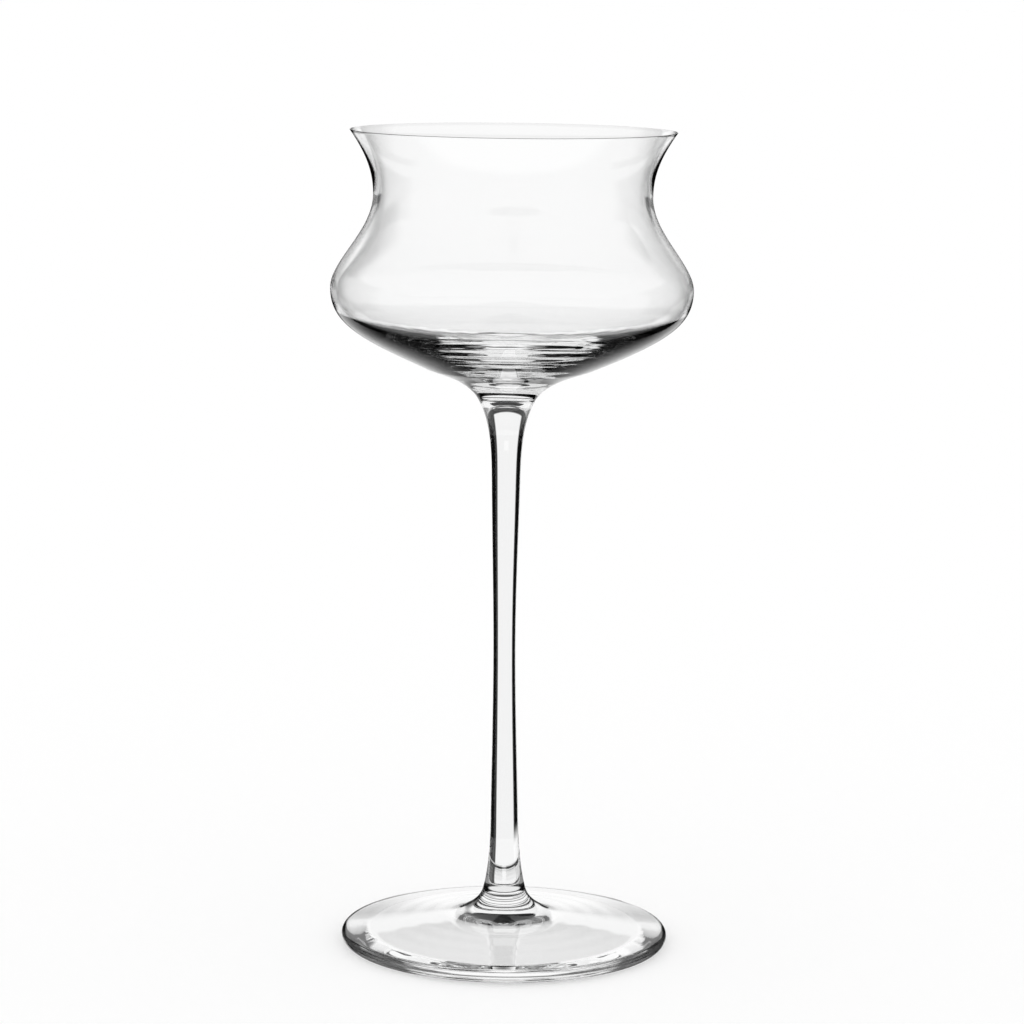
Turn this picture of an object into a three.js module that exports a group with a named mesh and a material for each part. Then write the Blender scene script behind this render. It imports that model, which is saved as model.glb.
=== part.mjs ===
import * as THREE from 'three';

// Stemmed cocktail glass of clear blown glass: a bowl, a drawn stem and a foot,
// each a solid of revolution about Z, fused end to end at two seams.
// Sizes are in millimetres and the foot stands on z = 0.

// Height of the whole glass, of which the stem takes what foot and bowl leave
const GLASS_HEIGHT = 205;

// Foot: a low cone with a rounded edge, hollowed underneath to an even thickness
const FOOT_RADIUS = 41.3;
const FOOT_EDGE_THICKNESS = 3.4;
const FOOT_CONE_RISE = 3.8;
const FOOT_COLLAR_RADIUS = 14;
const FOOT_COLLAR_RISE = 5.8;
const FOOT_STAND_WIDTH = 6;
const FOOT_HOLLOW_DEPTH = 3.6;

// Seams: the radius of each fused joint and how far its wall leans from upright
const LOWER_SEAM_RADIUS = 5.5;
const LOWER_SEAM_LEAN = THREE.MathUtils.degToRad(17);
const UPPER_SEAM_RADIUS = 6.95;
const UPPER_SEAM_LEAN = THREE.MathUtils.degToRad(28);

// Stem: a flare at each end, and a share of the run between them up to the slimmest place
const STEM_LOWER_FLARE_RISE = 18;
const STEM_LOWER_NECK_RADIUS = 3.5;
const STEM_SLIM_RADIUS = 2.77;
const STEM_SLIM_PLACE = 0.506;
const STEM_UPPER_NECK_RADIUS = 3.55;
const STEM_UPPER_FLARE_RISE = 20;

// Bowl outside, from the seam up: flare, cone, bulge, waist and leaning rim
const BOWL_FLARE_RISE = 8.1;
const BOWL_FLARE_RADIUS = 20.9;
const BOWL_CONE_SLOPE = THREE.MathUtils.degToRad(23.6);
const BOWL_CONE_RISE = 19.9;
const BULGE_RADIUS = 45;
const SHOULDER_RISE = 23;
const WAIST_RADIUS = 34.55;
const LIP_RISE = 16;
const RIM_RADIUS = 40.4;
const RIM_LEAN = THREE.MathUtils.degToRad(35);

// Bowl inside: the wall at four heights, the glass from flare to floor,
// and the place along the cone from which the wall thickens towards the floor
const HEEL_WALL = 0.7;
const BULGE_WALL = 0.6;
const WAIST_WALL = 0.6;
const RIM_WALL = 0.6;
const FLOOR_GLASS = 1.2;
const HEEL_PLACE = 0.74;

// Share of a stretch over which a curve holds the direction of its end
const HOLLOW_CROWN_HOLD = 0.35;
const HOLLOW_EDGE_HOLD = 0.5;
const COLLAR_HOLD = 0.5;
const COLLAR_SEAM_HOLD = 0.45;
const STEM_LOWER_SEAM_HOLD = 0.22;
const STEM_NECK_HOLD = 0.4;
const STEM_TAPER_HOLD = 0.33;
const STEM_UPPER_SEAM_HOLD = 0.28;
const BOWL_SEAM_HOLD = 0.64;
const BOWL_FLARE_HOLD = 0.22;
const CONE_HOLD = 0.77;
const BULGE_LOWER_HOLD = 0.4;
const BULGE_UPPER_HOLD = 0.28;
const WAIST_LOWER_HOLD = 0.39;
const WAIST_UPPER_HOLD = 0.29;
const RIM_HOLD = 0.42;
const HEEL_BULGE_HOLD = 0.45;
const HEEL_HOLD = 0.25;
const FLOOR_EDGE_HOLD = 0.5;
const FLOOR_FLAT_HOLD = 0.3;

// Fineness of the surface: steps round the axis and along an outline
const TURN_STEPS = 48;
const LONG_STEPS = 8;
const SHORT_STEPS = 6;

// Heights and lengths that follow from the sizes above
const footConeTop = FOOT_EDGE_THICKNESS + FOOT_CONE_RISE;
const footHeight = footConeTop + FOOT_COLLAR_RISE;
const bulgeHeight = BOWL_FLARE_RISE + BOWL_CONE_RISE;
const waistHeight = bulgeHeight + SHOULDER_RISE;
const rimHeight = waistHeight + LIP_RISE;
const floorHeight = BOWL_FLARE_RISE + FLOOR_GLASS;
const stemLength = GLASS_HEIGHT - footHeight - rimHeight;
const taperRise = stemLength - STEM_LOWER_FLARE_RISE - STEM_UPPER_FLARE_RISE;
const lowerTaperRise = STEM_SLIM_PLACE * taperRise;
const upperTaperRise = taperRise - lowerTaperRise;

// A point of an outline, by its distance from the axis and its height
const at = (radius, height) => new THREE.Vector2(radius, height);

// A stretch of outline that leaves its start and reaches its end towards two handles
function sweep(start, leave, arrive, end, steps) {
  return new THREE.CubicBezierCurve(start, leave, arrive, end).getPoints(steps);
}

// A round stretch of outline about a centre, turning from one angle to another
function round(centre, radius, from, to, steps) {
  return new THREE.EllipseCurve(centre.x, centre.y, radius, radius, from, to).getPoints(steps);
}

// One piece of glass: stretches joined into an outline and turned about Z
function turned(name, stretches) {
  const outline = stretches.flat().filter((p, i, all) => i === 0 || !p.equals(all[i - 1]));
  const geometry = new THREE.LatheGeometry(outline, TURN_STEPS);
  geometry.rotateX(Math.PI / 2);
  const glass = new THREE.MeshStandardMaterial({
    color: 0xf3f6f6,
    roughness: 0.03,
    metalness: 0,
    transparent: true,
    opacity: 0.35,
  });
  const mesh = new THREE.Mesh(geometry, glass);
  mesh.name = name;
  return mesh;
}

// Foot: hollow, standing ring, rounded edge, cone, and collar up to the seam
function makeFoot() {
  const edgeRadius = FOOT_EDGE_THICKNESS / 2;
  const edgeCentre = at(FOOT_RADIUS - edgeRadius, edgeRadius);
  const coneSlope = FOOT_CONE_RISE / (edgeCentre.x - FOOT_COLLAR_RADIUS);
  const coneAngle = Math.atan(coneSlope);
  const hollowRadius = edgeCentre.x - FOOT_STAND_WIDTH;
  const hollowRun = HOLLOW_EDGE_HOLD * hollowRadius;
  const hollow = sweep(
    at(0, FOOT_HOLLOW_DEPTH),
    at(HOLLOW_CROWN_HOLD * hollowRadius, FOOT_HOLLOW_DEPTH),
    at(hollowRadius - hollowRun, hollowRun * coneSlope),
    at(hollowRadius, 0),
    LONG_STEPS,
  );
  const edge = round(edgeCentre, edgeRadius, -Math.PI / 2, Math.PI / 2 - coneAngle, LONG_STEPS);

  const collarRun = COLLAR_HOLD * (FOOT_COLLAR_RADIUS - LOWER_SEAM_RADIUS);
  const seamDrop = COLLAR_SEAM_HOLD * FOOT_COLLAR_RISE;
  const seam = at(LOWER_SEAM_RADIUS, footHeight);
  const collar = sweep(
    at(FOOT_COLLAR_RADIUS, footConeTop),
    at(FOOT_COLLAR_RADIUS - collarRun, footConeTop + collarRun * coneSlope),
    at(seam.x + seamDrop * Math.tan(LOWER_SEAM_LEAN), seam.y - seamDrop),
    seam,
    LONG_STEPS,
  );
  return turned('foot', [hollow, edge, collar, [at(0, footHeight)]]);
}

// Stem: lower flare, two tapers that meet at the slim middle, and upper flare
function makeStem() {
  const lowerSlope = (STEM_LOWER_NECK_RADIUS - STEM_SLIM_RADIUS) / lowerTaperRise;
  const upperSlope = (STEM_UPPER_NECK_RADIUS - STEM_SLIM_RADIUS) / upperTaperRise;
  const lowerNeck = at(STEM_LOWER_NECK_RADIUS, STEM_LOWER_FLARE_RISE);
  const slim = at(STEM_SLIM_RADIUS, lowerNeck.y + lowerTaperRise);
  const upperNeck = at(STEM_UPPER_NECK_RADIUS, slim.y + upperTaperRise);
  const seam = at(UPPER_SEAM_RADIUS, stemLength);

  const seamRise = STEM_LOWER_SEAM_HOLD * STEM_LOWER_FLARE_RISE;
  const lowerHold = STEM_NECK_HOLD * STEM_LOWER_FLARE_RISE;
  const lowerFlare = sweep(
    at(LOWER_SEAM_RADIUS, 0),
    at(LOWER_SEAM_RADIUS - seamRise * Math.tan(LOWER_SEAM_LEAN), seamRise),
    at(lowerNeck.x + lowerHold * lowerSlope, lowerNeck.y - lowerHold),
    lowerNeck,
    LONG_STEPS,
  );

  const lowerTaperHold = STEM_TAPER_HOLD * lowerTaperRise;
  const lowerTaper = sweep(
    lowerNeck,
    at(lowerNeck.x - lowerTaperHold * lowerSlope, lowerNeck.y + lowerTaperHold),
    at(slim.x, slim.y - lowerTaperHold),
    slim,
    SHORT_STEPS,
  );

  const upperTaperHold = STEM_TAPER_HOLD * upperTaperRise;
  const upperTaper = sweep(
    slim,
    at(slim.x, slim.y + upperTaperHold),
    at(upperNeck.x - upperTaperHold * upperSlope, upperNeck.y - upperTaperHold),
    upperNeck,
    SHORT_STEPS,
  );

  const upperHold = STEM_NECK_HOLD * STEM_UPPER_FLARE_RISE;
  const seamDrop = STEM_UPPER_SEAM_HOLD * STEM_UPPER_FLARE_RISE;
  const upperFlare = sweep(
    upperNeck,
    at(upperNeck.x + upperHold * upperSlope, upperNeck.y + upperHold),
    at(seam.x - seamDrop * Math.tan(UPPER_SEAM_LEAN), seam.y - seamDrop),
    seam,
    LONG_STEPS,
  );
  return turned('stem', [[at(0, 0)], lowerFlare, lowerTaper, upperTaper, upperFlare, [at(0, stemLength)]]);
}

// Bowl wall from bulge to rim, outside or inside, by its radius at bulge and waist
function bowlWall(bulgeRadius, waistRadius, rim) {
  const rimHold = RIM_HOLD * LIP_RISE;
  const shoulder = sweep(
    at(bulgeRadius, bulgeHeight),
    at(bulgeRadius, bulgeHeight + BULGE_UPPER_HOLD * SHOULDER_RISE),
    at(waistRadius, waistHeight - WAIST_LOWER_HOLD * SHOULDER_RISE),
    at(waistRadius, waistHeight),
    LONG_STEPS,
  );
  const lip = sweep(
    at(waistRadius, waistHeight),
    at(waistRadius, waistHeight + WAIST_UPPER_HOLD * LIP_RISE),
    at(rim.x - rimHold * Math.tan(RIM_LEAN), rim.y - rimHold),
    rim,
    LONG_STEPS,
  );
  return [...shoulder, ...lip];
}

// Bowl: flare and cone, outer wall, rounded rim, inner wall, heel, and floor to the axis
function makeBowl() {
  const seamRise = BOWL_SEAM_HOLD * BOWL_FLARE_RISE;
  const flareRun = BOWL_FLARE_HOLD * (BOWL_FLARE_RADIUS - UPPER_SEAM_RADIUS);
  const coneRun = CONE_HOLD * (BULGE_RADIUS - BOWL_FLARE_RADIUS);
  const coneSlope = Math.tan(BOWL_CONE_SLOPE);
  const coneStart = at(BOWL_FLARE_RADIUS, BOWL_FLARE_RISE);
  const flare = sweep(
    at(UPPER_SEAM_RADIUS, 0),
    at(UPPER_SEAM_RADIUS + seamRise * Math.tan(UPPER_SEAM_LEAN), seamRise),
    at(coneStart.x - flareRun, coneStart.y - flareRun * coneSlope),
    coneStart,
    LONG_STEPS,
  );
  const cone = new THREE.CubicBezierCurve(
    coneStart,
    at(coneStart.x + coneRun, coneStart.y + coneRun * coneSlope),
    at(BULGE_RADIUS, bulgeHeight - BULGE_LOWER_HOLD * BOWL_CONE_RISE),
    at(BULGE_RADIUS, bulgeHeight),
  );

  const rimRadius = RIM_WALL / 2;
  const rimCentre = at(RIM_RADIUS - rimRadius, rimHeight - rimRadius);
  const rim = round(rimCentre, rimRadius, -RIM_LEAN, Math.PI - RIM_LEAN, SHORT_STEPS);
  const innerBulge = BULGE_RADIUS - BULGE_WALL;
  const outerWall = bowlWall(BULGE_RADIUS, WAIST_RADIUS, rim.at(0));
  const innerWall = bowlWall(innerBulge, WAIST_RADIUS - WAIST_WALL, rim.at(-1)).reverse();

  const along = cone.getTangent(HEEL_PLACE);
  const inward = at(-along.y, along.x);
  const heel = cone.getPoint(HEEL_PLACE).addScaledVector(inward, HEEL_WALL);
  const heelRise = bulgeHeight - heel.y;
  const floorDrop = heel.y - floorHeight;
  const heelWall = sweep(
    at(innerBulge, bulgeHeight),
    at(innerBulge, bulgeHeight - HEEL_BULGE_HOLD * heelRise),
    heel.clone().addScaledVector(along, HEEL_HOLD * heelRise / along.y),
    heel,
    SHORT_STEPS,
  );
  const floor = sweep(
    heel,
    heel.clone().addScaledVector(along, -FLOOR_EDGE_HOLD * floorDrop / along.y),
    at(FLOOR_FLAT_HOLD * heel.x, floorHeight),
    at(0, floorHeight),
    LONG_STEPS,
  );
  const outside = [flare, cone.getPoints(LONG_STEPS), outerWall];
  return turned('bowl', [[at(0, 0)], ...outside, rim, innerWall, heelWall, floor]);
}

// The glass: stem on the foot's seam, bowl on the stem's seam
const glass = new THREE.Group();
const foot = makeFoot();
const stem = makeStem();
const bowl = makeBowl();
stem.position.z = footHeight;
bowl.position.z = footHeight + stemLength;
glass.add(foot, stem, bowl);

export default glass;
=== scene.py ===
"""Looks of a stemmed cocktail glass: a blown bowl, a drawn stem and a spun foot in clear glass.

The three pieces are turned outlines in the shared frame, fused at two seams. Sizes in the classes
are millimetres, and the meshes are metres.
"""

from __future__ import annotations

import logging
import math
from dataclasses import dataclass, field
from enum import Enum
from typing import Union

import bpy
from mathutils import Matrix, Vector

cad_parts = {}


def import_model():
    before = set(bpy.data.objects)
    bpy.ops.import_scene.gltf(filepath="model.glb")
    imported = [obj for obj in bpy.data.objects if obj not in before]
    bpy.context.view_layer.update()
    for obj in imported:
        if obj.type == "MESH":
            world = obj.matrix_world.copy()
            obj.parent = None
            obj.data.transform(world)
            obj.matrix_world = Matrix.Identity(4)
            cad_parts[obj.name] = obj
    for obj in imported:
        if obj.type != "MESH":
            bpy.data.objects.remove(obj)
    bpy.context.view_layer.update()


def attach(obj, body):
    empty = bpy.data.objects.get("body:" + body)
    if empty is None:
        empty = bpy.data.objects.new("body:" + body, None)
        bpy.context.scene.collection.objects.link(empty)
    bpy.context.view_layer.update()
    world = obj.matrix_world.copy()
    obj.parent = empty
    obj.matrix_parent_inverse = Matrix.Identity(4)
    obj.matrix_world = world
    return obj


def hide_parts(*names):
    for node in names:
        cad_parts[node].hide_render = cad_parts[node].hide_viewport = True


LOG = logging.getLogger("cocktail_glass")
MM = 0.001
NEAR = 1e-6

FULL_TURN = 360.0
HALF_TURN = 180.0

Number = Union[int, float]
Socket = bpy.types.NodeSocket
Point = tuple[float, float]


class Piece(Enum):
    """The three pieces of glass, by the name of their node."""

    BOWL = "bowl"
    STEM = "stem"
    FOOT = "foot"

    @property
    def slot(self) -> str:
        """Name of the material slot that the piece takes its finish from."""
        return f"{self.value}_glass"


class Zone(Enum):
    """Parts of an outline that are dressed or waved apart from each other."""

    SEAM = "seam"
    OUTSIDE = "outside"
    INSIDE = "inside"
    FLOOR = "floor"
    UNDERSIDE = "underside"
    HOLLOW = "hollow"
    TOP = "top"


def tangent(degrees: float) -> float:
    """Tangent of an angle in degrees."""
    return math.tan(math.radians(degrees))


def ease(value: float, low: float, high: float) -> float:
    """Smooth step from 0 at low to 1 at high.

    Args:
        value: Where to read the step.
        low: Start of the step.
        high: End of the step.

    Returns:
        A share from 0 to 1.
    """
    share = min(max((value - low) / (high - low), 0.0), 1.0)
    return share * share * (3.0 - 2.0 * share)


@dataclass
class Outline:
    """A path of points in the half plane of radius and height, each in a zone.

    Attributes:
        points: Radius and height of each point.
        zones: Zone of the strip that leads to each point.
    """

    points: list[Point] = field(default_factory=list)
    zones: list[Zone] = field(default_factory=list)

    def add(self, points: list[Point], zone: Zone) -> None:
        """Append points, leaving out a first one that repeats the end of the path.

        Args:
            points: Radius and height of each point.
            zone: Zone of the strips that lead to these points.
        """
        for point in points:
            if self.points and math.dist(point, self.points[-1]) < NEAR:
                continue
            self.points.append(point)
            self.zones.append(zone)

    def sweep(self, bend: tuple[Point, Point, Point, Point], steps: int, zone: Zone) -> None:
        """Append a cubic curve.

        Args:
            bend: Start, two handles and end of the curve.
            steps: Number of straight steps.
            zone: Zone of the curve.
        """
        self.add([cubic(bend, i / steps) for i in range(steps + 1)], zone)

    def round(self, centre: Point, radius: float, turn: Point, steps: int, zone: Zone) -> None:
        """Append an arc.

        Args:
            centre: Centre of the arc.
            radius: Radius of the arc.
            turn: First and last angle in radians.
            steps: Number of straight steps.
            zone: Zone of the arc.
        """
        angles = [turn[0] + (turn[1] - turn[0]) * i / steps for i in range(steps + 1)]
        arc = [(centre[0] + radius * math.cos(a), centre[1] + radius * math.sin(a)) for a in angles]
        self.add(arc, zone)


def cubic(bend: tuple[Point, Point, Point, Point], share: float) -> Point:
    """Point of a cubic curve.

    Args:
        bend: Start, two handles and end of the curve.
        share: Place along the curve from 0 to 1.

    Returns:
        Radius and height of the point.
    """
    rest = 1.0 - share
    weights = (rest**3, 3 * rest * rest * share, 3 * rest * share * share, share**3)
    radius = sum(w * p[0] for w, p in zip(weights, bend))
    height = sum(w * p[1] for w, p in zip(weights, bend))
    return (radius, height)


def cubic_way(bend: tuple[Point, Point, Point, Point], share: float) -> Point:
    """Unit direction of a cubic curve.

    Args:
        bend: Start, two handles and end of the curve.
        share: Place along the curve from 0 to 1.

    Returns:
        Direction in radius and height.
    """
    rest = 1.0 - share
    weights = (rest * rest, 2 * rest * share, share * share)
    steps = [(b[0] - a[0], b[1] - a[1]) for a, b in zip(bend, bend[1:])]
    radius = sum(w * s[0] for w, s in zip(weights, steps))
    height = sum(w * s[1] for w, s in zip(weights, steps))
    length = math.hypot(radius, height)
    return (radius / length, height / length)


class Graph:
    """Short hand for adding and linking shader nodes in one tree."""

    def __init__(self, tree: bpy.types.NodeTree) -> None:
        """Empty the tree and keep it."""
        self.tree = tree
        tree.nodes.clear()

    def add(self, kind: str, **settings: object) -> bpy.types.Node:
        """Add a node.

        Args:
            kind: Node type.
            **settings: Attributes to set on the node.

        Returns:
            The new node.
        """
        node = self.tree.nodes.new(kind)
        for name, value in settings.items():
            setattr(node, name, value)
        return node

    def link(self, source: Socket, target: Socket) -> None:
        """Link two sockets."""
        self.tree.links.new(source, target)

    def reckon(self, operation: str, *terms: Union[Socket, Number]) -> Socket:
        """Add a math node.

        Args:
            operation: Name of the operation.
            *terms: Sockets or plain numbers for its inputs.

        Returns:
            The node's output.
        """
        node = self.add("ShaderNodeMath", operation=operation)
        for target, term in zip(node.inputs, terms):
            if isinstance(term, (int, float)):
                target.default_value = term
            else:
                self.link(term, target)
        return node.outputs[0]

    def step(self, value: Socket, span: Point, levels: Point) -> Socket:
        """Add a smooth step.

        Args:
            value: What is stepped.
            span: Where the step starts and ends.
            levels: Values before and after it.

        Returns:
            The stepped value.
        """
        node = self.add("ShaderNodeMapRange", interpolation_type="SMOOTHSTEP")
        self.link(value, node.inputs["Value"])
        node.inputs["From Min"].default_value, node.inputs["From Max"].default_value = span
        node.inputs["To Min"].default_value, node.inputs["To Max"].default_value = levels
        return node.outputs["Result"]

    def blend(self, share: Socket, first: Union[Socket, Number], second: Socket) -> Socket:
        """Add a mix of two values.

        Args:
            share: 0 for the first value and 1 for the second.
            first: First value.
            second: Second value.

        Returns:
            The mixed value.
        """
        node = self.add("ShaderNodeMix", data_type="FLOAT")
        self.link(share, node.inputs[0])
        if isinstance(first, (int, float)):
            node.inputs[2].default_value = first
        else:
            self.link(first, node.inputs[2])
        self.link(second, node.inputs[3])
        return node.outputs[0]


@dataclass(frozen=True)
class ClearGlass:
    """Clear blown glass with faint cords of denser glass and a nearly smooth skin.

    Attributes:
        name: Name of the material.
        stretch: How often the cords repeat along X, Y and Z, per metre.
        cord_depth: Height of the cords in metres.
        cord_strength: How much of that height shows.
        cord_detail: Finer cords within the cords.
        cord_roughness: How strong the finer cords are.
        skin_scale: How often the skin changes, per metre.
        skin_detail: Finer changes of the skin.
        skin_span: Part of the skin's noise over which it turns from smooth to dull.
        thin: Colour of the clearest glass.
        dense: Colour of the cords.
        gloss: Roughness of the smoothest and the dullest skin.
        ior: Index of refraction.
    """

    name: str
    stretch: tuple[float, float, float]
    cord_depth: float = 0.00002
    cord_strength: float = 0.05
    cord_detail: float = 2.0
    cord_roughness: float = 0.45
    skin_scale: float = 900.0
    skin_detail: float = 3.0
    skin_span: Point = (0.55, 0.8)
    thin: tuple[float, float, float] = (1.0, 1.0, 1.0)
    dense: tuple[float, float, float] = (0.992, 0.994, 0.994)
    gloss: Point = (0.0, 0.012)
    ior: float = 1.5

    def build(self) -> bpy.types.Material:
        """Make the material.

        Returns:
            The glass material.
        """
        material = bpy.data.materials.new(self.name)
        material.use_nodes = True
        graph = Graph(material.node_tree)
        place = graph.add("ShaderNodeTexCoord").outputs["Object"]
        mapping = graph.add("ShaderNodeMapping")
        mapping.inputs["Scale"].default_value = self.stretch
        graph.link(place, mapping.inputs["Vector"])
        cords = graph.add("ShaderNodeTexNoise")
        cords.inputs["Scale"].default_value = 1.0
        cords.inputs["Detail"].default_value = self.cord_detail
        cords.inputs["Roughness"].default_value = self.cord_roughness
        graph.link(mapping.outputs["Vector"], cords.inputs["Vector"])

        colour = graph.add("ShaderNodeMix", data_type="RGBA")
        graph.link(cords.outputs["Fac"], colour.inputs["Factor"])
        colour.inputs["A"].default_value = (*self.thin, 1.0)
        colour.inputs["B"].default_value = (*self.dense, 1.0)

        skin = graph.add("ShaderNodeTexNoise")
        skin.inputs["Scale"].default_value = self.skin_scale
        skin.inputs["Detail"].default_value = self.skin_detail
        graph.link(place, skin.inputs["Vector"])
        gloss = graph.step(skin.outputs["Fac"], self.skin_span, self.gloss)

        bump = graph.add("ShaderNodeBump")
        bump.inputs["Strength"].default_value = self.cord_strength
        bump.inputs["Distance"].default_value = self.cord_depth
        graph.link(cords.outputs["Fac"], bump.inputs["Height"])

        shader = graph.add("ShaderNodeBsdfPrincipled")
        shader.inputs["IOR"].default_value = self.ior
        shader.inputs["Transmission Weight"].default_value = 1.0
        graph.link(colour.outputs["Result"], shader.inputs["Base Color"])
        graph.link(gloss, shader.inputs["Roughness"])
        graph.link(bump.outputs["Normal"], shader.inputs["Normal"])
        output = graph.add("ShaderNodeOutputMaterial")
        graph.link(shader.outputs["BSDF"], output.inputs["Surface"])
        return material


@dataclass(frozen=True)
class FusedSeam:
    """The face at which two pieces are fused, where light passes as if it weren't there.

    Attributes:
        name: Name of the material.
    """

    name: str = "fused_seam"

    def build(self) -> bpy.types.Material:
        """Make the material.

        Returns:
            A material that lets all light through.
        """
        material = bpy.data.materials.new(self.name)
        material.use_nodes = True
        graph = Graph(material.node_tree)
        shader = graph.add("ShaderNodeBsdfPrincipled")
        shader.inputs["Alpha"].default_value = 0.0
        output = graph.add("ShaderNodeOutputMaterial")
        graph.link(shader.outputs["BSDF"], output.inputs["Surface"])
        return material


@dataclass(frozen=True)
class PaleTable:
    """Matt white table top that keeps shadows.

    Attributes:
        name: Name of the material.
        pale: Colour of the table.
        lift: Light of its own, for what sees it directly.
    """

    name: str = "pale_table"
    pale: float = 0.8
    lift: float = 0.2

    def build(self) -> bpy.types.Material:
        """Make the material.

        Returns:
            The table's material.
        """
        material = bpy.data.materials.new(self.name)
        material.use_nodes = True
        graph = Graph(material.node_tree)
        matt = graph.add("ShaderNodeBsdfDiffuse")
        matt.inputs["Color"].default_value = (self.pale, self.pale, self.pale, 1.0)
        lift = graph.add("ShaderNodeEmission")
        ray = graph.add("ShaderNodeLightPath")
        graph.link(graph.reckon("MULTIPLY", ray.outputs["Is Camera Ray"], self.lift), lift.inputs["Strength"])
        both = graph.add("ShaderNodeAddShader")
        graph.link(matt.outputs["BSDF"], both.inputs[0])
        graph.link(lift.outputs["Emission"], both.inputs[1])
        output = graph.add("ShaderNodeOutputMaterial")
        graph.link(both.outputs["Shader"], output.inputs["Surface"])
        return material


@dataclass(frozen=True)
class Seam:
    """A flat face at which two pieces are fused.

    Attributes:
        height: Height above the table.
        radius: Radius of the face.
        lean: Lean of the sides there, in degrees off upright.
    """

    height: float
    radius: float
    lean: float


FOOT_SEAM = Seam(13.0, 5.5, 17.0)
BOWL_SEAM = Seam(138.0, 6.95, 28.0)


@dataclass(frozen=True)
class StemBow:
    """Slight sideways bow of the hand-drawn stem, along X.

    Attributes:
        side: How far the glass stands off the axis.
        start: Height at which the bow starts, under the table so that the foot leans with it.
        full: Height at which it is full.
        end: Height up to which it stays full.
        back: Height at which the bowl is on the axis again.
    """

    side: float = -0.9
    start: float = -10.0
    full: float = 100.0
    end: float = BOWL_SEAM.height
    back: float = 150.0

    def at(self, height: float) -> float:
        """How far the glass stands off the axis at a height."""
        return self.side * ease(height, self.start, self.full) * (1.0 - ease(height, self.end, self.back))


@dataclass
class TurnedGlass:
    """A piece of glass that is turned about Z, as a closed mesh.

    Attributes:
        piece: Which piece it is.
        finish: Its glass.
        turns: Number of steps round the axis.
        bow: How the stem stands off the axis.
    """

    piece: Piece
    finish: ClearGlass
    turns: int = 192
    bow: StemBow = StemBow()

    def outline(self) -> Outline:
        """Outline of the piece, from the axis round to the axis again."""
        raise NotImplementedError

    def place(self, radius: float, height: float, angle: float, zone: Zone) -> Vector:
        """Put one point of the outline into space.

        Args:
            radius: Distance from the axis.
            height: Height above the table.
            angle: Angle round the axis.
            zone: Zone of the point.

        Returns:
            The point in metres.
        """
        wave = self.wave(radius, angle, zone)
        x = radius * math.cos(angle) + self.bow.at(height)
        y = radius * math.sin(angle)
        return Vector((x * MM, y * MM, (height + wave) * MM))

    def wave(self, radius: float, angle: float, zone: Zone) -> float:
        """Height of the hand-made unevenness at a point, none unless a piece has some."""
        return 0.0

    def own_finishes(self) -> dict[Zone, ClearGlass]:
        """Zones with a finish of their own, none unless a piece has some."""
        return {}

    def build(self, seam: bpy.types.Material) -> bpy.types.Object:
        """Make the mesh, dress it and set it in the frame.

        Args:
            seam: Material of the fused faces.

        Returns:
            The piece of glass.
        """
        mesh, zones = self.skin()
        self.dress(mesh, zones, seam)
        glass = bpy.data.objects.new(f"{self.piece.value}_glass", mesh)
        bpy.context.scene.collection.objects.link(glass)
        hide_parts(self.piece.value)
        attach(glass, "root")
        return glass

    def skin(self) -> tuple[bpy.types.Mesh, list[Zone]]:
        """Turn the outline into a closed mesh.

        Returns:
            The mesh, and the zone of each of its faces.
        """
        path = self.outline()
        verts: list[Vector] = []
        rings: list[list[int]] = []
        for (radius, height), zone in zip(path.points, path.zones):
            if radius < NEAR:
                rings.append([len(verts)] * self.turns)
                verts.append(self.place(0.0, height, 0.0, zone))
                continue
            rings.append(list(range(len(verts), len(verts) + self.turns)))
            for k in range(self.turns):
                verts.append(self.place(radius, height, 2.0 * math.pi * k / self.turns, zone))
        faces: list[tuple[int, ...]] = []
        zones: list[Zone] = []
        for (low, high), zone in zip(zip(rings, rings[1:]), path.zones[1:]):
            for k in range(self.turns):
                n = (k + 1) % self.turns
                corners = tuple(dict.fromkeys((low[k], low[n], high[n], high[k])))
                faces.append(corners)
                zones.append(zone)
        mesh = bpy.data.meshes.new(f"{self.piece.value}_glass")
        mesh.from_pydata(verts, [], faces)
        return mesh, zones

    def dress(self, mesh: bpy.types.Mesh, zones: list[Zone], seam: bpy.types.Material) -> None:
        """Give each zone its material and shade the skin smooth.

        Args:
            mesh: Mesh of the piece.
            zones: Zone of each face.
            seam: Material of the fused faces.
        """
        mesh.materials.append(self.finish.build())
        mesh.materials.append(seam)
        slots = {Zone.SEAM: 1}
        for zone, finish in self.own_finishes().items():
            slots[zone] = len(mesh.materials)
            mesh.materials.append(finish.build())
        fused = [zone is Zone.SEAM for zone in zones]
        mesh.polygons.foreach_set("use_smooth", [not f for f in fused])
        mesh.polygons.foreach_set("material_index", [slots.get(zone, 0) for zone in zones])
        self.sharpen(mesh, fused)
        mesh.update()

    def sharpen(self, mesh: bpy.types.Mesh, fused: list[bool]) -> None:
        """Keep the skin's shading apart from the flat fused faces.

        Args:
            mesh: Mesh of the piece.
            fused: For each face, whether it is fused.
        """
        beside: dict[tuple[int, int], set[bool]] = {}
        for face, flat in zip(mesh.polygons, fused):
            for key in face.edge_keys:
                beside.setdefault(key, set()).add(flat)
        for edge in mesh.edges:
            edge.use_edge_sharp = len(beside[edge.key]) == 2


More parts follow.
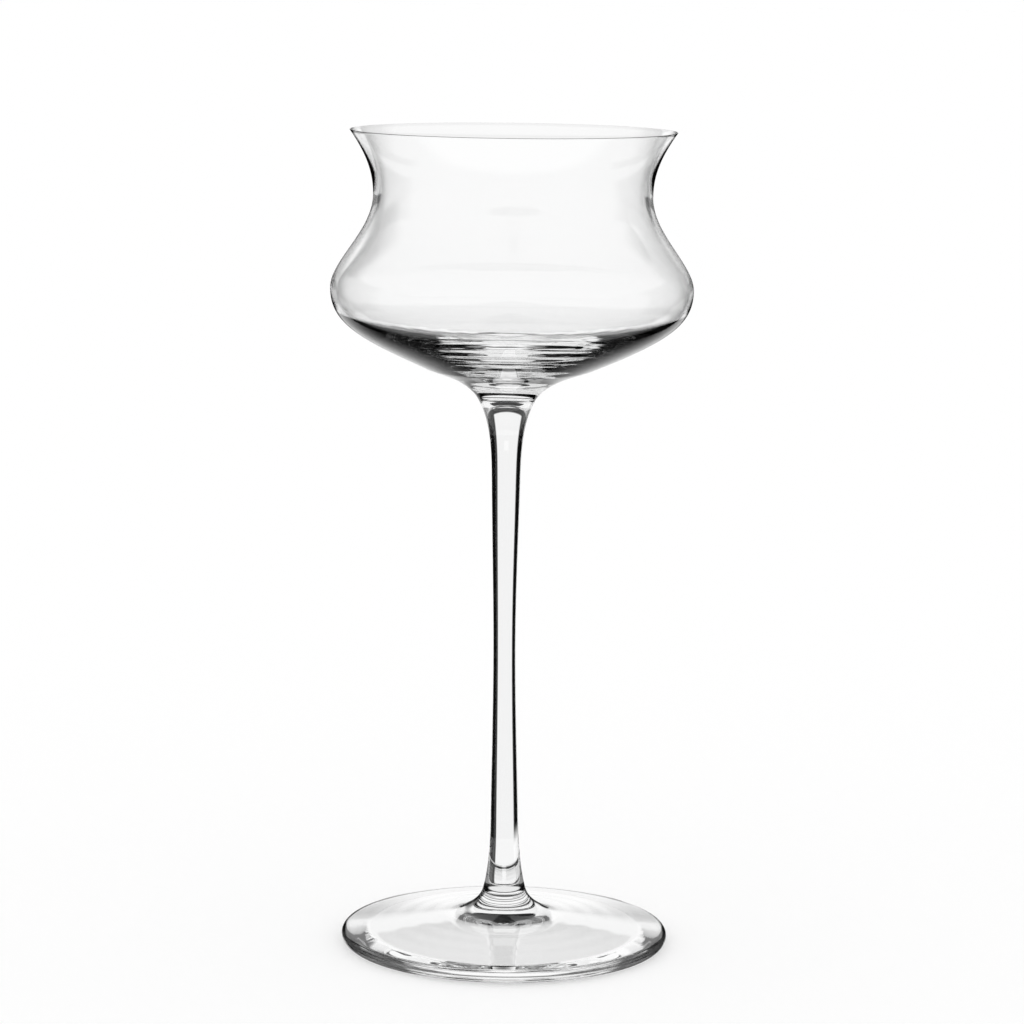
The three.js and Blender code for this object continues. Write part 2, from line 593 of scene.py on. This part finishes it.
@dataclass
class Foot(TurnedGlass):
    """Round foot: a low cone with a rounded edge, a collar and a shallow hollow below.

    Attributes:
        radius: Radius of the foot.
        edge_thickness: Thickness at the rounded edge.
        cone_rise: Rise of the top from the edge to the collar.
        collar_radius: Radius at which the collar starts.
        stand_width: Width of the ring that the glass stands on, up to the round of the edge.
        hollow_depth: Depth of the hollow on the axis.
        hollow_hold: Share of the hollow's radius that runs in from the ring.
        hollow_crown: Share of the hollow's radius that is flat on the axis.
        hollow_shade: Grey of the hollow's glass, a painted shade that stands for the shaded table seen
            through the foot.
        seam: Seam with the stem, up to which the collar rises.
        collar_hold: Share of the collar's width that runs on from the cone.
        seam_hold: Share of the collar's rise that runs down from the seam.
        ring_depth: Depth of the rings that spinning leaves.
        ring_step: Distance from ring to ring.
        ring_start: Width beside the collar over which the rings grow.
        ring_end: Distances from the edge between which the rings fade out.
        hollow_steps: Straight steps of the hollow.
        stand_steps: Straight steps of the standing ring.
        edge_steps: Straight steps of the edge.
        cone_steps: Straight steps of the cone.
        collar_steps: Straight steps of the collar.
    """

    radius: float = 41.3
    edge_thickness: float = 3.4
    cone_rise: float = 3.8
    collar_radius: float = 14.0
    stand_width: float = 6.0
    hollow_depth: float = 3.6
    hollow_hold: float = 0.5
    hollow_crown: float = 0.35
    hollow_shade: float = 0.86
    seam: Seam = FOOT_SEAM
    collar_hold: float = 0.5
    seam_hold: float = 0.45
    ring_depth: float = 0.012
    ring_step: float = 5.5
    ring_start: float = 3.0
    ring_end: Point = (6.0, 2.0)
    hollow_steps: int = 48
    stand_steps: int = 6
    edge_steps: int = 28
    cone_steps: int = 36
    collar_steps: int = 36

    def outline(self) -> Outline:
        """Outline from the top of the hollow round the edge and up to the seam."""
        path = Outline()
        edge_radius = self.edge_thickness / 2
        centre = (self.radius - edge_radius, edge_radius)
        hollow_radius = centre[0] - self.stand_width
        slope = self.cone_rise / (centre[0] - self.collar_radius)
        run = self.hollow_hold * hollow_radius
        hollow = (
            (0.0, self.hollow_depth),
            (self.hollow_crown * hollow_radius, self.hollow_depth),
            (hollow_radius - run, run * slope),
            (hollow_radius, 0.0),
        )
        path.sweep(hollow, self.hollow_steps, Zone.HOLLOW)
        ways = [self.stand_width * i / self.stand_steps for i in range(self.stand_steps + 1)]
        path.add([(hollow_radius + way, 0.0) for way in ways], Zone.UNDERSIDE)
        turn = (-math.pi / 2, math.pi / 2 - math.atan(slope))
        path.round(centre, edge_radius, turn, self.edge_steps, Zone.OUTSIDE)
        cone_top = self.edge_thickness + self.cone_rise
        start = path.points[-1]
        steps = self.cone_steps
        cone = [
            (
                start[0] + (self.collar_radius - start[0]) * i / steps,
                start[1] + (cone_top - start[1]) * i / steps,
            )
            for i in range(1, steps + 1)
        ]
        path.add(cone, Zone.TOP)
        run = self.collar_hold * (self.collar_radius - self.seam.radius)
        drop = self.seam_hold * (self.seam.height - cone_top)
        bend = (
            (self.collar_radius, cone_top),
            (self.collar_radius - run, cone_top + run * slope),
            (self.seam.radius + drop * tangent(self.seam.lean), self.seam.height - drop),
            (self.seam.radius, self.seam.height),
        )
        path.sweep(bend, self.collar_steps, Zone.OUTSIDE)
        path.add([(0.0, self.seam.height)], Zone.SEAM)
        return path

    def own_finishes(self) -> dict[Zone, ClearGlass]:
        """Glass of the hollow, tinted grey as painted shade for the shaded table seen through the foot."""
        # The grey tint is painted shade of the table under the foot, not a property of the glass.
        shade_tint = (self.hollow_shade, self.hollow_shade, self.hollow_shade)
        return {Zone.HOLLOW: ClearGlass("hollow_glass", self.finish.stretch, thin=shade_tint, dense=shade_tint)}

    def wave(self, radius: float, angle: float, zone: Zone) -> float:
        """Faint rings that spinning leaves on top of the foot, in millimetres."""
        if zone is not Zone.TOP:
            return 0.0
        inside = ease(radius, self.collar_radius, self.collar_radius + self.ring_start)
        inside *= 1.0 - ease(radius, self.radius - self.ring_end[0], self.radius - self.ring_end[1])
        return self.ring_depth * inside * math.sin(2.0 * math.pi * radius / self.ring_step)


@dataclass
class Stem(TurnedGlass):
    """Drawn stem: a solid rod, flared at both ends and slimmest in the middle.

    Attributes:
        lower_seam: Seam with the foot.
        upper_seam: Seam with the bowl.
        lower_flare_rise: Rise of the lower flare.
        lower_neck_radius: Radius where the lower flare ends.
        slim_radius: Radius at the slimmest place.
        slim_place: Place of the slimmest radius as a share of the way between the flares.
        upper_neck_radius: Radius where the upper flare starts.
        upper_flare_rise: Rise of the upper flare.
        lower_seam_hold: Share of the lower flare that runs on from the seam.
        neck_hold: Share of each flare that runs on from its neck.
        taper_hold: Share of each taper that runs on from its ends.
        upper_seam_hold: Share of the upper flare that runs down from the seam.
        lower_flare_steps: Straight steps of the lower flare.
        taper_steps: Straight steps of each taper.
        upper_flare_steps: Straight steps of the upper flare.
    """

    lower_seam: Seam = FOOT_SEAM
    upper_seam: Seam = BOWL_SEAM
    lower_flare_rise: float = 18.0
    lower_neck_radius: float = 3.5
    slim_radius: float = 2.77
    slim_place: float = 0.506
    upper_neck_radius: float = 3.55
    upper_flare_rise: float = 20.0
    lower_seam_hold: float = 0.22
    neck_hold: float = 0.4
    taper_hold: float = 0.33
    upper_seam_hold: float = 0.28
    lower_flare_steps: int = 36
    taper_steps: int = 24
    upper_flare_steps: int = 40

    def outline(self) -> Outline:
        """Outline from the lower seam to the upper seam."""
        path = Outline()
        low = self.lower_seam.height
        high = self.upper_seam.height
        between = high - low - self.lower_flare_rise - self.upper_flare_rise
        lower_taper = self.slim_place * between
        upper_taper = between - lower_taper
        lower_slope = (self.lower_neck_radius - self.slim_radius) / lower_taper
        upper_slope = (self.upper_neck_radius - self.slim_radius) / upper_taper
        lower_neck = (self.lower_neck_radius, low + self.lower_flare_rise)
        slim = (self.slim_radius, lower_neck[1] + lower_taper)
        upper_neck = (self.upper_neck_radius, slim[1] + upper_taper)

        path.add([(0.0, low)], Zone.SEAM)
        path.add([(self.lower_seam.radius, low)], Zone.SEAM)
        rise = self.lower_seam_hold * self.lower_flare_rise
        hold = self.neck_hold * self.lower_flare_rise
        leave = (self.lower_seam.radius - rise * tangent(self.lower_seam.lean), low + rise)
        arrive = (lower_neck[0] + hold * lower_slope, lower_neck[1] - hold)
        flare = ((self.lower_seam.radius, low), leave, arrive, lower_neck)
        path.sweep(flare, self.lower_flare_steps, Zone.OUTSIDE)
        hold = self.taper_hold * lower_taper
        leave = (lower_neck[0] - hold * lower_slope, lower_neck[1] + hold)
        taper = (lower_neck, leave, (slim[0], slim[1] - hold), slim)
        path.sweep(taper, self.taper_steps, Zone.OUTSIDE)
        hold = self.taper_hold * upper_taper
        arrive = (upper_neck[0] - hold * upper_slope, upper_neck[1] - hold)
        taper = (slim, (slim[0], slim[1] + hold), arrive, upper_neck)
        path.sweep(taper, self.taper_steps, Zone.OUTSIDE)
        hold = self.neck_hold * self.upper_flare_rise
        drop = self.upper_seam_hold * self.upper_flare_rise
        leave = (upper_neck[0] + hold * upper_slope, upper_neck[1] + hold)
        arrive = (self.upper_seam.radius - drop * tangent(self.upper_seam.lean), high - drop)
        flare = (upper_neck, leave, arrive, (self.upper_seam.radius, high))
        path.sweep(flare, self.upper_flare_steps, Zone.OUTSIDE)
        path.add([(0.0, high)], Zone.SEAM)
        return path


@dataclass
class Bowl(TurnedGlass):
    """Blown bowl: flare, cone, bulge, waist and flared rim over a thick rippled floor.

    A hold is the share of a curve's rise or run that goes on straight from one of its ends.

    Attributes:
        seam: Seam with the stem.
        flare_rise: Rise of the flare above the seam.
        flare_radius: Radius where the flare turns into the cone.
        cone_slope: Slope of the cone there, in degrees.
        cone_rise: Rise of the cone up to the bulge.
        bulge_radius: Widest radius.
        shoulder_rise: Rise from the bulge to the waist.
        waist_radius: Slimmest radius above the bulge.
        lip_rise: Rise from the waist to the rim.
        rim_radius: Radius of the rim.
        rim_lean: Lean of the lip at the rim, in degrees off upright.
        heel_wall: Wall where the inside turns into the floor.
        bulge_wall: Wall at the bulge.
        waist_wall: Wall at the waist.
        rim_wall: Wall at the rim.
        floor_glass: Height of the floor on the axis above the flare.
        heel_place: Place of the heel along the cone, from 0 to 1.
        floor_edge_hold: Hold of the floor at the heel.
        floor_flat_hold: Share of the floor's radius that is flat on the axis.
        seam_hold: Hold of the flare at the seam.
        flare_hold: Hold of the flare at the cone.
        cone_hold: Hold of the cone at the flare.
        bulge_hold: Hold of the cone at the bulge.
        shoulder_hold: Hold of the shoulder at the bulge.
        waist_hold: Hold of the shoulder at the waist.
        lip_hold: Hold of the lip at the waist.
        rim_hold: Hold of the lip at the rim.
        inner_hold: Hold of the inside at the bulge.
        heel_hold: Hold of the inside at the heel.
        ripple_depth: Depth of the ripples in the floor.
        ripple_step: Distance from ripple to ripple.
        ripple_radius: Radius at which the ripples have faded out.
        ripple_fade: Width over which they fade out.
        ripple_start: Radii between which they grow.
        ripple_drift: How far the ripples are from round, in radians.
        drift_second: Strength of the drift's second wave beside the first.
        drift_starts: Where the two waves of the drift start, in radians.
        flare_steps: Straight steps of the flare.
        cone_steps: Straight steps of the cone.
        shoulder_steps: Straight steps of the shoulder.
        lip_steps: Straight steps of the lip.
        rim_steps: Straight steps of the rim.
        heel_steps: Straight steps of the inside down to the heel.
        floor_steps: Straight steps of the floor.
    """

    seam: Seam = BOWL_SEAM
    flare_rise: float = 8.1
    flare_radius: float = 20.9
    cone_slope: float = 23.6
    cone_rise: float = 19.9
    bulge_radius: float = 45.0
    shoulder_rise: float = 23.0
    waist_radius: float = 34.55
    lip_rise: float = 16.0
    rim_radius: float = 40.4
    rim_lean: float = 35.0
    heel_wall: float = 0.5
    bulge_wall: float = 0.42
    waist_wall: float = 0.75
    rim_wall: float = 0.18
    floor_glass: float = 1.2
    heel_place: float = 0.74
    floor_edge_hold: float = 0.5
    floor_flat_hold: float = 0.3
    seam_hold: float = 0.64
    flare_hold: float = 0.22
    cone_hold: float = 0.77
    bulge_hold: float = 0.4
    shoulder_hold: float = 0.28
    waist_hold: float = 0.39
    lip_hold: float = 0.29
    rim_hold: float = 0.42
    inner_hold: float = 0.45
    heel_hold: float = 0.25
    ripple_depth: float = 0.07
    ripple_step: float = 5.5
    ripple_radius: float = 36.0
    ripple_fade: float = 8.0
    ripple_start: Point = (1.0, 5.0)
    ripple_drift: float = 0.2
    drift_second: float = 0.5
    drift_starts: Point = (0.7, 1.9)
    flare_steps: int = 40
    cone_steps: int = 56
    shoulder_steps: int = 40
    lip_steps: int = 32
    rim_steps: int = 14
    heel_steps: int = 20
    floor_steps: int = 110

    @property
    def bulge_height(self) -> float:
        """Height of the widest place above the seam."""
        return self.flare_rise + self.cone_rise

    @property
    def waist_height(self) -> float:
        """Height of the waist above the seam."""
        return self.bulge_height + self.shoulder_rise

    @property
    def rim_height(self) -> float:
        """Height of the rim above the seam."""
        return self.waist_height + self.lip_rise

    def cone(self) -> tuple[Point, Point, Point, Point]:
        """Curve of the outside from the flare up to the bulge."""
        run = self.cone_hold * (self.bulge_radius - self.flare_radius)
        return (
            (self.flare_radius, self.flare_rise),
            (self.flare_radius + run, self.flare_rise + run * tangent(self.cone_slope)),
            (self.bulge_radius, self.bulge_height - self.bulge_hold * self.cone_rise),
            (self.bulge_radius, self.bulge_height),
        )

    def wall(self, bulge: float, waist: float, rim: Point) -> list[Point]:
        """Side of the bowl from bulge to rim.

        Args:
            bulge: Radius at the bulge.
            waist: Radius at the waist.
            rim: Where the side meets the rim.

        Returns:
            Points from the bulge upwards, above the seam.
        """
        shoulder = (
            (bulge, self.bulge_height),
            (bulge, self.bulge_height + self.shoulder_hold * self.shoulder_rise),
            (waist, self.waist_height - self.waist_hold * self.shoulder_rise),
            (waist, self.waist_height),
        )
        hold = self.rim_hold * self.lip_rise
        lip = (
            (waist, self.waist_height),
            (waist, self.waist_height + self.lip_hold * self.lip_rise),
            (rim[0] - hold * tangent(self.rim_lean), rim[1] - hold),
            rim,
        )
        side = Outline()
        side.sweep(shoulder, self.shoulder_steps, Zone.OUTSIDE)
        side.sweep(lip, self.lip_steps, Zone.OUTSIDE)
        return side.points

    def line_base(self, path: Outline) -> None:
        """Append the inside of the bowl below the bulge, down to the axis.

        Args:
            path: Outline that has come down the inside as far as the bulge.
        """
        cone = self.cone()
        out = cubic(cone, self.heel_place)
        way = cubic_way(cone, self.heel_place)
        heel = (out[0] - way[1] * self.heel_wall, out[1] + way[0] * self.heel_wall)
        inner = self.bulge_radius - self.bulge_wall
        rise = self.bulge_height - heel[1]
        floor_height = self.flare_rise + self.floor_glass
        drop = heel[1] - floor_height
        up = self.heel_hold * rise / way[1]
        down = self.floor_edge_hold * drop / way[1]
        side = (
            (inner, self.bulge_height),
            (inner, self.bulge_height - self.inner_hold * rise),
            (heel[0] + way[0] * up, heel[1] + way[1] * up),
            heel,
        )
        floor = (
            heel,
            (heel[0] - way[0] * down, heel[1] - way[1] * down),
            (self.floor_flat_hold * heel[0], floor_height),
            (0.0, floor_height),
        )
        path.sweep(side, self.heel_steps, Zone.INSIDE)
        path.sweep(floor, self.floor_steps, Zone.FLOOR)

    def outline(self) -> Outline:
        """Outline from the seam up the outside, over the rim and down the inside."""
        path = Outline()
        path.add([(0.0, 0.0), (self.seam.radius, 0.0)], Zone.SEAM)
        rise = self.seam_hold * self.flare_rise
        run = self.flare_hold * (self.flare_radius - self.seam.radius)
        flare = (
            (self.seam.radius, 0.0),
            (self.seam.radius + rise * tangent(self.seam.lean), rise),
            (self.flare_radius - run, self.flare_rise - run * tangent(self.cone_slope)),
            (self.flare_radius, self.flare_rise),
        )
        path.sweep(flare, self.flare_steps, Zone.OUTSIDE)
        path.sweep(self.cone(), self.cone_steps, Zone.OUTSIDE)
        rim_half = self.rim_wall / 2
        centre = (self.rim_radius - rim_half, self.rim_height - rim_half)
        lean = math.radians(self.rim_lean)
        rim = Outline()
        rim.round(centre, rim_half, (-lean, math.pi - lean), self.rim_steps, Zone.OUTSIDE)
        path.add(self.wall(self.bulge_radius, self.waist_radius, rim.points[0]), Zone.OUTSIDE)
        path.add(rim.points, Zone.OUTSIDE)
        inner_bulge = self.bulge_radius - self.bulge_wall
        inner = self.wall(inner_bulge, self.waist_radius - self.waist_wall, rim.points[-1])
        path.add(inner[::-1], Zone.INSIDE)
        self.line_base(path)
        path.points = [(r, z + self.seam.height) for r, z in path.points]
        return path

    def wave(self, radius: float, angle: float, zone: Zone) -> float:
        """Ripples that the cooling glass leaves in the floor, in millimetres."""
        if zone is not Zone.FLOOR:
            return 0.0
        share = ease(radius, *self.ripple_start)
        share *= 1.0 - ease(radius, self.ripple_radius - self.ripple_fade, self.ripple_radius)
        first = math.sin(angle - self.drift_starts[0])
        second = math.sin(2.0 * angle + self.drift_starts[1])
        drift = self.ripple_drift * (first + self.drift_second * second)
        return self.ripple_depth * share * math.sin(2.0 * math.pi * radius / self.ripple_step + drift)


@dataclass(frozen=True)
class LitPanel:
    """A white panel round the glass, by direction, with soft edges.

    Attributes:
        middle: Direction of the panel, in degrees round Z from X.
        half: Half its width in degrees.
        low: Elevation of its lower edge in degrees.
        high: Elevation of its upper edge in degrees.
        soft: Half width of the side edges.
        soft_up: Half width of the lower and upper edge.
        level: Brightness at the upper edge.
        fall: How much dimmer the lower edge is.
    """

    middle: float
    half: float
    low: float
    high: float
    soft: float = 2.0
    soft_up: float = 2.0
    level: float = 1.0
    fall: float = 0.0

    def mask(self, graph: Graph, azimuth: Socket, elevation: Socket) -> Socket:
        """Brightness of the panel for a direction.

        Args:
            graph: Tree of the world.
            azimuth: Direction round Z in degrees.
            elevation: Direction above the table in degrees.

        Returns:
            The panel's level on it and 0 beside it.
        """
        ahead = graph.reckon("ADD", azimuth, FULL_TURN + HALF_TURN - self.middle)
        turn = graph.reckon("MODULO", ahead, FULL_TURN)
        away = graph.reckon("ABSOLUTE", graph.reckon("SUBTRACT", turn, HALF_TURN))
        across = graph.step(away, (self.half - self.soft, self.half + self.soft), (1.0, 0.0))
        above = graph.step(elevation, (self.low - self.soft_up, self.low + self.soft_up), (0.0, 1.0))
        below = graph.step(elevation, (self.high - self.soft_up, self.high + self.soft_up), (1.0, 0.0))
        share = graph.step(elevation, (self.low, self.high), (self.level - self.fall, self.level))
        inside = graph.reckon("MULTIPLY", across, graph.reckon("MULTIPLY", above, below))
        return graph.reckon("MULTIPLY", inside, share)


@dataclass(frozen=True)
class PhotoCamera:
    """Camera at the photograph's angle.

    Attributes:
        sensor: Width of the sensor in millimetres.
        lens: Focal length in millimetres.
        stand: Place of the camera in metres.
        pitch: How far it looks down, in degrees.
        roll: How far it is turned about its own view, in degrees.
    """

    sensor: float = 36.0
    lens: float = 124.26
    stand: tuple[float, float, float] = (0.00069, -0.8734, 0.24586)
    pitch: float = 8.842
    roll: float = 0.717

    def build(self) -> None:
        """Make the camera and look through it."""
        lens = bpy.data.cameras.new("camera")
        lens.sensor_width = self.sensor
        lens.lens = self.lens
        camera = bpy.data.objects.new("camera", lens)
        bpy.context.scene.collection.objects.link(camera)
        pitch = math.radians(self.pitch)
        roll = math.radians(self.roll)
        ahead = Vector((0.0, math.cos(pitch), -math.sin(pitch)))
        side = Vector((1.0, 0.0, 0.0))
        above = Vector((0.0, math.sin(pitch), math.cos(pitch)))
        right = side * math.cos(roll) + above * math.sin(roll)
        up = above * math.cos(roll) - side * math.sin(roll)
        turn = Matrix((right, up, -ahead)).transposed().to_4x4()
        camera.matrix_world = Matrix.Translation(self.stand) @ turn
        bpy.context.scene.camera = camera


@dataclass
class Studio:
    """White table in a dim room, with white panels behind the glass that draw its edges.

    Attributes:
        table_radius: Radius of the table in metres.
        drop: Gap between the foot and the table, in metres.
        through: Panels seen through solid glass.
        walls: Panels seen through thin walls.
        front: Panels seen, beside those, in the back wall of the bowl from inside.
        turned: Panels seen after several turns inside solid glass.
        mirrored: Panels seen in the reflections on the glass.
        dim: Brightness of the room between the panels.
        thin_after: Ray depth above which the glass counts as a thin wall.
        front_after: Ray depth above which it counts as the back wall of the bowl.
        turned_after: Glossy depth above which light counts as turned inside the glass.
        table_corners: Number of corners of the table's edge.
        bounces: How often light may be bent or turned.
        mirror_bounces: How often it may be mirrored.
    """

    table_radius: float = 20.0
    drop: float = 0.0003
    through: tuple[LitPanel, ...] = (
        LitPanel(93.2, 29.2, -38.0, 19.0, soft_up=1.0, level=0.93),
        LitPanel(180.0, 22.0, -38.0, 19.0),
        LitPanel(140.0, 22.0, -44.0, -18.0),
        LitPanel(315.0, 29.0, -44.0, 19.0),
        LitPanel(90.0, 6.0, -3.6, 0.0, soft=1.0, soft_up=0.4),
        LitPanel(270.0, 200.0, -95.0, -52.0, soft_up=4.0, level=0.9),
    )
    walls: tuple[LitPanel, ...] = (
        LitPanel(93.2, 29.2, -38.0, -4.3, soft_up=0.4),
        LitPanel(90.0, 8.0, -9.5, 4.0, soft=1.0),
        LitPanel(93.2, 29.2, 2.0, 19.0, soft_up=1.0),
        LitPanel(270.0, 200.0, -95.0, -52.0, soft_up=4.0, level=0.9),
    )
    front: tuple[LitPanel, ...] = (
        LitPanel(270.0, 145.0, -15.0, 95.0, soft=8.0),
        LitPanel(270.0, 120.0, -95.0, 95.0, soft=8.0),
        LitPanel(135.0, 18.0, -36.0, -15.0),
    )
    turned: tuple[LitPanel, ...] = (
        LitPanel(93.2, 29.2, -40.0, 50.0),
        LitPanel(270.0, 80.0, -95.0, 95.0, soft=8.0, level=0.3),
        LitPanel(0.0, 40.0, -75.0, -26.0, level=0.7),
        LitPanel(180.0, 40.0, -75.0, -26.0, level=0.7),
    )
    mirrored: tuple[LitPanel, ...] = (
        LitPanel(90.0, 5.0, -14.0, 30.0),
        LitPanel(93.2, 29.2, -42.0, -12.0, fall=1.0),
        LitPanel(93.2, 29.2, 12.0, 95.0, soft_up=4.0),
        LitPanel(270.0, 95.0, -95.0, 95.0, soft=8.0),
        LitPanel(270.0, 135.0, -95.0, -22.0, soft=8.0),
        LitPanel(270.0, 125.0, 20.0, 95.0, soft=8.0),
    )
    dim: float = 0.004
    thin_after: float = 3.5
    front_after: float = 4.5
    turned_after: float = 1.5
    table_corners: int = 96
    bounces: int = 32
    mirror_bounces: int = 16

    def build(self) -> bpy.types.Object:
        """Lay the table, light the room and set the camera.

        Returns:
            The table.
        """
        corners = range(self.table_corners)
        turns = [2.0 * math.pi * k / self.table_corners for k in corners]
        edge = [(math.cos(a) * self.table_radius, math.sin(a) * self.table_radius, -self.drop) for a in turns]
        mesh = bpy.data.meshes.new("table")
        mesh.from_pydata(edge, [], [tuple(corners)])
        mesh.materials.append(PaleTable().build())
        table = bpy.data.objects.new("table", mesh)
        bpy.context.scene.collection.objects.link(table)
        table.visible_transmission = False
        table.visible_glossy = False
        self.light()
        PhotoCamera().build()
        return table

    def pattern(self, graph: Graph, panels: tuple[LitPanel, ...], place: tuple[Socket, Socket]) -> Socket:
        """Brightness of the room by direction.

        Args:
            graph: Tree of the world.
            panels: Panels to draw.
            place: Sockets of azimuth and elevation.

        Returns:
            The panels' brightness, and the dim level between them.
        """
        level = panels[0].mask(graph, *place)
        for panel in panels[1:]:
            level = graph.reckon("MAXIMUM", level, panel.mask(graph, *place))
        return graph.reckon("MAXIMUM", level, self.dim)

    def light(self) -> None:
        """Make the room: white for the table, with panels for what passes through or off the glass."""
        world = bpy.data.worlds.new("white_room")
        bpy.context.scene.world = world
        world.use_nodes = True
        graph = Graph(world.node_tree)
        way = graph.add("ShaderNodeSeparateXYZ")
        graph.link(graph.add("ShaderNodeTexCoord").outputs["Generated"], way.inputs["Vector"])
        azimuth = graph.reckon("DEGREES", graph.reckon("ARCTAN2", way.outputs["Y"], way.outputs["X"]))
        elevation = graph.reckon("DEGREES", graph.reckon("ARCSINE", way.outputs["Z"]))
        place = (azimuth, elevation)
        mirrored = self.pattern(graph, self.mirrored, place)
        ray = graph.add("ShaderNodeLightPath")
        inside = graph.reckon("GREATER_THAN", ray.outputs["Ray Depth"], self.front_after)
        front = graph.reckon("MULTIPLY", inside, self.pattern(graph, self.front, place))
        walls = graph.reckon("MAXIMUM", self.pattern(graph, self.walls, place), front)
        thin = graph.reckon("GREATER_THAN", ray.outputs["Ray Depth"], self.thin_after)
        through = graph.blend(thin, self.pattern(graph, self.through, place), walls)
        often = graph.reckon("GREATER_THAN", ray.outputs["Glossy Depth"], self.turned_after)
        through = graph.blend(often, through, self.pattern(graph, self.turned, place))
        level = graph.blend(ray.outputs["Is Glossy Ray"], 1.0, mirrored)
        level = graph.blend(ray.outputs["Is Transmission Ray"], level, through)
        level = graph.reckon("MAXIMUM", level, graph.reckon("MINIMUM", ray.outputs["Diffuse Depth"], 1.0))
        room = graph.add("ShaderNodeBackground")
        room.inputs["Color"].default_value = (1.0, 1.0, 1.0, 1.0)
        graph.link(level, room.inputs["Strength"])
        output = graph.add("ShaderNodeOutputWorld")
        graph.link(room.outputs["Background"], output.inputs["Surface"])
        scene = bpy.context.scene
        scene.view_settings.view_transform = "Standard"
        scene.cycles.max_bounces = self.bounces
        scene.cycles.transmission_bounces = self.bounces
        scene.cycles.glossy_bounces = self.mirror_bounces


def clear_start() -> None:
    """Remove what a new file starts with, apart from the frame."""
    for name in ("Cube", "Light", "Camera"):
        thing = bpy.data.objects.get(name)
        if thing is not None:
            bpy.data.objects.remove(thing, do_unlink=True)


def main() -> None:
    """Load the frame, build the pieces and the studio, and report each piece."""
    logging.basicConfig(level=logging.INFO, format="%(message)s")
    clear_start()
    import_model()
    seam = FusedSeam().build()
    glasses: list[TurnedGlass] = [
        Foot(Piece.FOOT, ClearGlass("foot_glass", (60.0, 60.0, 220.0))),
        Stem(Piece.STEM, ClearGlass("stem_glass", (240.0, 240.0, 18.0))),
        Bowl(Piece.BOWL, ClearGlass("bowl_glass", (38.0, 38.0, 60.0))),
    ]
    for glass in glasses:
        made = glass.build(seam)
        LOG.info("%s: %d faces", made.name, len(made.data.polygons))
    LOG.info("%s: stage", Studio().build().name)


if __name__ == "__main__":
    main()
